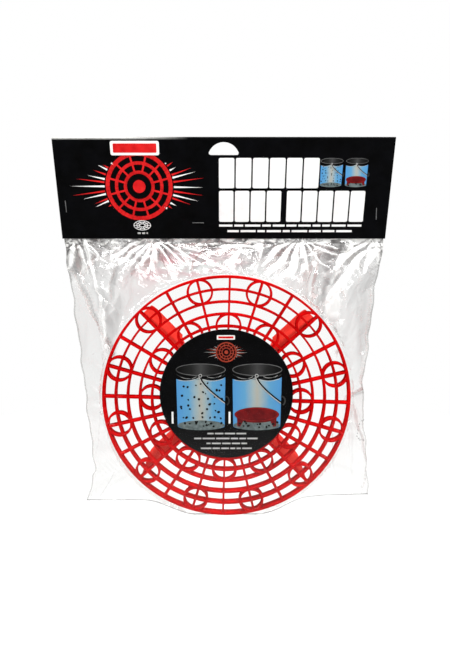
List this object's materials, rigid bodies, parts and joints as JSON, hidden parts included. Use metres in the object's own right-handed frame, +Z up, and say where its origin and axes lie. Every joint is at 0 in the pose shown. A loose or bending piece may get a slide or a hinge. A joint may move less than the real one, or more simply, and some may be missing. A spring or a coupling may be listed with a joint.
{
  "type": "bucket grit guard in a header bag",
  "caption": "Round red plastic grit guard with upright vanes for a wash bucket, in a clear film bag under a folded black header card with a half-moon hang slot.",
  "frame": {"origin": "centre of the hang slot, in the middle of the folded header card", "axes": "+Z up as the pack hangs, -Y towards the front of the pack, +X to the right seen from the front"},
  "size_m": [0.34, 0.0787, 0.3978],
  "materials": {
    "guard_plastic": "satin",
    "label_card": "satin",
    "header_card": "satin",
    "staple_wire": "satin",
    "clear_film": "gloss"
  },
  "bodies": {
    "pack": {"header_card": "header_card", "staple_left": "staple_wire", "staple_center": "staple_wire", "staple_right": "staple_wire", "bag_front_film": "clear_film", "bag_back_film": "clear_film"},
    "guard": {"guard_grid": "guard_plastic", "vane_upper_right": "guard_plastic", "vane_upper_left": "guard_plastic", "vane_lower_left": "guard_plastic", "vane_lower_right": "guard_plastic", "label_card": "label_card"}
  },
  "joints": [
    {"name": "guard_turn", "type": "hinge", "parent": "pack", "child": "guard", "pos_m": [0.0027, -0.017, -0.255], "axis": [0, 1, 0], "continuous": true}
  ]
}
